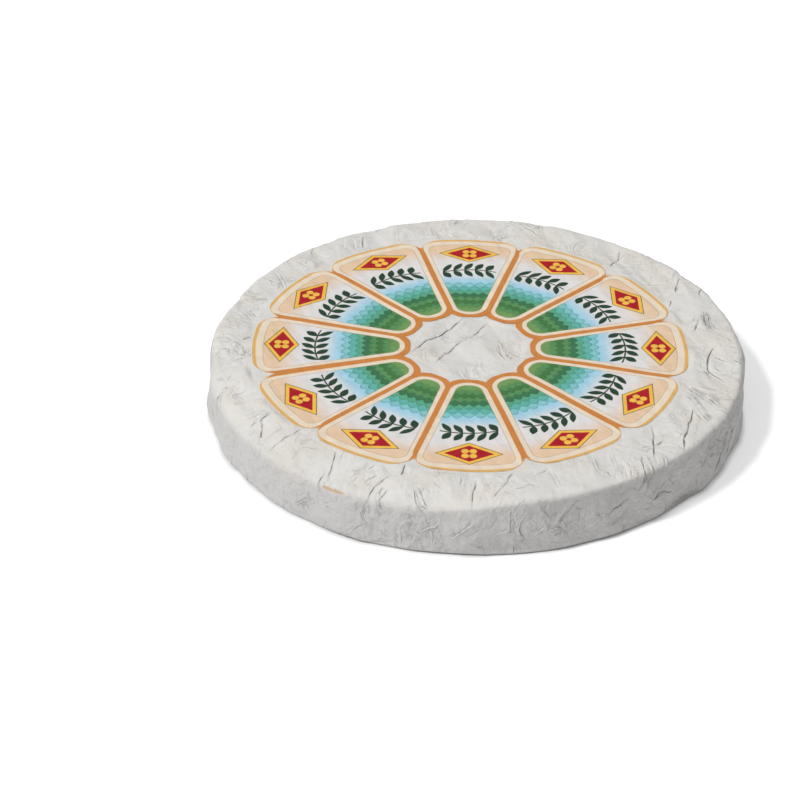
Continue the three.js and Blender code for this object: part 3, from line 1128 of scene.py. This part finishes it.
class BrieRindSettings(bpy.types.PropertyGroup):
    """The rind's folds and colours."""

    fold_height: number_setting("Fold Height", "How tall the folds are", 1.0)
    facet_height: number_setting("Facet Height", "How crumpled the skin is", 1.0)
    lump_height: length_setting("Lump Height", "How high the soft lumps are", 0.2 * MM)
    seed: bpy.props.IntProperty(name="Seed", description="The draw of the folds", default=7)
    bloom: colour_setting("Bloom", "The rind's white bloom", 216, 214, 210)
    warm: colour_setting("Warm Bloom", "The bloom's warmer patches", 215, 210, 202)
    # The side's colour is painted shade, a greyer bloom laid down the side where less light falls.
    side: colour_setting("Side Painted Shade", "The bloom down the side", 184, 182, 181)
    # This colour greys the specks, which are the rind's own tone, and also lays painted shade along the
    # creases.
    speck_and_crease_shade: colour_setting("Speck And Crease Shade", "The rind down in its creases", 160, 156, 150)
    scuff: colour_setting("Scuff", "The rind where it is worn", 196, 168, 136)


class BrieLabelSettings(bpy.types.PropertyGroup):
    """The labels' paper and print."""

    overlap: length_setting("Overlap", "How far a label reaches past its portion's cut", 1.75 * MM)
    outline: length_setting("Outline", "The width of the orange outline", 3.4 * MM)
    band: length_setting("Band", "The width of the cream band inside the outline", 3.2 * MM)
    thickness: length_setting("Thickness", "The paper's thickness", 0.1 * MM)
    stray: number_setting("Stray", "How unevenly the labels lie", 1.0)
    orange: colour_setting("Orange", "The outline", 205, 133, 68)
    end_orange: colour_setting("End Orange", "The outline at the label's outer end", 222, 176, 104)
    cream: colour_setting("Cream", "The band inside the outline", 231, 215, 193)
    line: colour_setting("Line", "The fine line inside the band", 150, 126, 108)
    paper: colour_setting("Paper", "The middle of the panel", 223, 220, 219)
    peach: colour_setting("Peach", "The outer end of the panel", 228, 198, 166)
    sky: colour_setting("Sky", "The pale blue of the panel", 158, 206, 226)
    pale_teal: colour_setting("Pale Teal", "The outermost row of scallops", 132, 196, 200)
    teal: colour_setting("Teal", "The second row of scallops", 100, 178, 168)
    sea_green: colour_setting("Sea Green", "The third row of scallops", 92, 166, 134)
    dark_green: colour_setting("Dark Green", "The fourth row of scallops", 62, 118, 80)
    green: colour_setting("Green", "The middle rows of scallops", 90, 144, 90)
    deep_green: colour_setting("Deep Green", "The row between them", 70, 122, 68)
    light_green: colour_setting("Light Green", "The scallops at the label's point", 112, 154, 92)
    leaf: colour_setting("Leaf", "The scallops' fine outlines", 34, 82, 56)
    ink: colour_setting("Ink", "The sprig and the lozenge's outline", 40, 66, 48)
    red: colour_setting("Red", "The lozenge", 172, 24, 40)
    gold: colour_setting("Gold", "The lozenge's border and flower", 238, 190, 78)


class BrieStageSettings(bpy.types.PropertyGroup):
    """The camera, the light and the floor."""

    distance: length_setting("Distance", "From the camera to the place it looks at", 1.5636)
    height_angle: angle_setting("Height Angle", "How far the camera looks down", 32.1)
    roll: angle_setting("Roll", "The camera's turn about its own line", 1.17)
    lens: number_setting("Lens", "Focal length in millimetres", 115.5)
    key: number_setting("Key Light", "The lamp's strength", 2.4)
    key_turn: angle_setting("Key Turn", "The direction that the light comes from", 210)
    key_height: angle_setting("Key Height", "How high the light stands", 53)
    softness: angle_setting("Softness", "How broad the lamp looks", 9)
    overhead: number_setting("Overhead Light", "The strength of the broad light from above", 1.0)
    overhead_softness: angle_setting("Overhead Softness", "How broad that light is", 70)
    sky: number_setting("Sky Light", "The strength of the light all round", 0.09)
    floor: colour_setting("Floor", "The floor's colour", 212, 212, 212)
    floor_glow: number_setting("Floor Glow", "The light that the floor gives", 0.46)
    floor_shade: length_setting("Floor Shade", "How far from the wheel that light is dimmed by it", 4 * MM)


# The operators


class BRIE_OT_make_rind(bpy.types.Operator):
    """Make the rind: the wheel with its folds, creases and worn places"""

    bl_idname = "brie.make_rind"
    bl_label = "Make the rind"

    def execute(self, context):
        settings = context.scene.brie_rind
        mesh, places, outward, run, turn = wheel_mesh()
        flat = np.stack([run * np.cos(turn), run * np.sin(turn)], axis=1)
        draw = random.Random(settings.seed)
        broad = np.zeros(len(run))
        sharp = np.zeros(len(run))
        add_folds(broad, flat, draw, *BROAD_FOLDS)
        add_folds(sharp, flat, draw, *SHARP_FOLDS)
        add_crinkle_folds(sharp, flat, draw)
        creases = [(on_flat(points), depth) for points, depth in CREASES] + small_creases(draw)
        offset, depth = lay_creases(wobbled(flat, draw), creases)
        sharp += crease_relief(offset, depth) + edge_ridges(run, turn)
        free = 1 - under_labels(places, RELIEF_MARGIN)
        shown = 1 - under_labels(places, FINISH_MARGIN)
        at_edge = np.exp(-(((run - WHEEL_RADIUS) / EDGE_CALM) ** 2))
        side = smoothstep(run, WHEEL_RADIUS - SIDE_BLEND, WHEEL_RADIUS + SIDE_BLEND)
        steady = smoothstep(places[:, 2], 0, BASE_FADE)
        broad *= 0.12 + 0.88 * free
        broad *= 1 - 0.5 * np.maximum(at_edge, side)
        fields = {
            "free": free * steady * (1 + (SIDE_ROUGHNESS - 1) * side) * (1 - 0.6 * at_edge),
            "fold": (broad + sharp * free) * steady,
            "crease_offset": offset,
            "crease_depth": depth * shown,
            "crinkle": crinkle_share(flat) * shown,
            "side": side,
            "scuff": worn(run, turn),
        }
        store(mesh, "outward", "FLOAT_VECTOR", outward)
        for name, field in fields.items():
            store(mesh, name, "FLOAT", field)
        map_rind(mesh, places, run, turn)
        piece = new_piece("rind", mesh)
        values = {
            "Solid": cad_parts["brie_wheel"],
            "Reach": SOLID_REACH,
            "Smoothing": SMOOTHING,
            "Fold Height": settings.fold_height,
            "Facet Height": settings.facet_height,
            "Lump Height": settings.lump_height,
            "Material": rind_material(settings),
        }
        run_tree(piece, rind_tree(), values)
        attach(piece, "root")
        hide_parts("brie_wheel")
        return {"FINISHED"}


class BRIE_OT_lay_labels(bpy.types.Operator):
    """Lay the labels: twelve paper wedges in a ring, each over the edge of the next"""

    bl_idname = "brie.lay_labels"
    bl_label = "Lay the labels"

    def execute(self, context):
        settings = context.scene.brie_labels
        tree = label_tree()
        material = label_material(settings)
        for number, (stray, outwards) in enumerate(LABEL_STRAYS):
            turn = RING_TURN + 2 * HALF_PORTION * number
            piece = new_piece(f"paper_label_{number + 1:02d}")
            outwards *= settings.stray * MM
            middle_x = RING_MIDDLE[0] + outwards * math.sin(turn)
            middle_y = RING_MIDDLE[1] + outwards * math.cos(turn)
            values = {
                "Rind": bpy.data.objects["rind"],
                "Columns": LABEL_COLUMNS,
                "Rows": LABEL_ROWS,
                "Overlap": settings.overlap,
                "Turn": turn + math.radians(stray * settings.stray),
                "Middle": (middle_x, middle_y, 0.0),
                "Thickness": settings.thickness,
                "Material": material,
            }
            run_tree(piece, tree, values)
            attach(piece, "root")
            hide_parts(f"label_{number + 1:02d}")
        return {"FINISHED"}


class BRIE_OT_set_stage(bpy.types.Operator):
    """Set the stage: the camera, a white floor, a lamp from the left and a broad soft light from above"""

    bl_idname = "brie.set_stage"
    bl_label = "Set the stage"

    def execute(self, context):
        settings = context.scene.brie_stage
        self.place_camera(context, settings)
        self.light(context, settings)
        self.lay_floor(settings)
        context.scene.view_settings.view_transform = "Standard"
        return {"FINISHED"}

    def place_camera(self, context, settings):
        target = Vector(CAMERA_TARGET)
        camera = bpy.data.cameras.new("camera")
        camera.lens = settings.lens
        camera.shift_x, camera.shift_y = CAMERA_SHIFT
        camera.clip_end = CAMERA_END
        holder = bpy.data.objects.new("camera", camera)
        context.scene.collection.objects.link(holder)
        angle = settings.height_angle
        away = Vector((0, -math.cos(angle), math.sin(angle))) * settings.distance
        look = Matrix.Rotation(math.pi / 2 - angle, 4, "X") @ Matrix.Rotation(settings.roll, 4, "Z")
        holder.matrix_world = Matrix.Translation(target + away) @ look
        context.scene.camera = holder

    def light(self, context, settings):
        world = bpy.data.worlds.new("sky")
        world.use_nodes = True
        background = world.node_tree.nodes["Background"]
        background.inputs["Color"].default_value = opaque(SKY_COLOUR)
        background.inputs["Strength"].default_value = settings.sky
        context.scene.world = world
        level, up = math.cos(settings.key_height), math.sin(settings.key_height)
        turn = settings.key_turn
        toward_key = Vector((level * math.cos(turn), level * math.sin(turn), up))
        self.add_lamp(context, "key", toward_key, settings.key, settings.softness)
        self.add_lamp(context, "overhead", Vector((0, 0, 1)), settings.overhead, settings.overhead_softness)

    def add_lamp(self, context, name, toward, strength, softness):
        lamp = bpy.data.lights.new(name, "SUN")
        lamp.energy = strength
        lamp.angle = softness
        holder = bpy.data.objects.new(name, lamp)
        context.scene.collection.objects.link(holder)
        aim = toward.to_track_quat("Z", "Y").to_matrix().to_4x4()
        holder.matrix_world = Matrix.Translation(toward) @ aim

    def lay_floor(self, settings):
        mesh = bpy.data.meshes.new("floor")
        square = [(-1, -1), (1, -1), (1, 1), (-1, 1)]
        mesh.from_pydata([(FLOOR_REACH * x, FLOOR_REACH * y, 0) for x, y in square], [], [(0, 1, 2, 3)])
        floor = new_piece("floor", mesh)
        material, tree, shader = new_material("floor")
        nearby = add(tree, "ShaderNodeAmbientOcclusion", {"Distance": settings.floor_shade}, samples=8)
        open_share = Number(tree, nearby.outputs["AO"]) ** 1.4
        finish = {
            "Base Color": opaque(settings.floor),
            "Roughness": 0.9,
            "Specular IOR Level": 0.1,
            "Emission Color": (1, 1, 1, 1),
            "Emission Strength": open_share * settings.floor_glow,
        }
        fill(tree, shader, finish)
        mesh.materials.append(material)


class BRIE_PT_panel(bpy.types.Panel):
    """The brie wheel's settings and the operators that make it"""

    bl_idname = "BRIE_PT_panel"
    bl_label = "Brie Wheel"
    bl_space_type = "VIEW_3D"
    bl_region_type = "UI"
    bl_category = "Brie"

    def draw(self, context):
        for operator, group in STEPS:
            box = self.layout.box()
            box.operator(operator.bl_idname)
            settings = getattr(context.scene, group)
            for name in settings.__annotations__:
                box.prop(settings, name)


STEPS = [
    (BRIE_OT_make_rind, "brie_rind"),
    (BRIE_OT_lay_labels, "brie_labels"),
    (BRIE_OT_set_stage, "brie_stage"),
]
SETTINGS = [
    ("brie_rind", BrieRindSettings),
    ("brie_labels", BrieLabelSettings),
    ("brie_stage", BrieStageSettings),
]
CLASSES = [group for _, group in SETTINGS] + [operator for operator, _ in STEPS] + [BRIE_PT_panel]


def register():
    for each in CLASSES:
        bpy.utils.register_class(each)
    for name, group in SETTINGS:
        setattr(bpy.types.Scene, name, bpy.props.PointerProperty(type=group))


def unregister():
    for name, _ in SETTINGS:
        delattr(bpy.types.Scene, name)
    for each in reversed(CLASSES):
        bpy.utils.unregister_class(each)


def corners(box):
    return [list(corner) for corner in box]


def main():
    register()
    bpy.ops.brie.make_rind()
    bpy.ops.brie.lay_labels()
    bpy.ops.brie.set_stage()


if __name__ == "__main__":
    main()
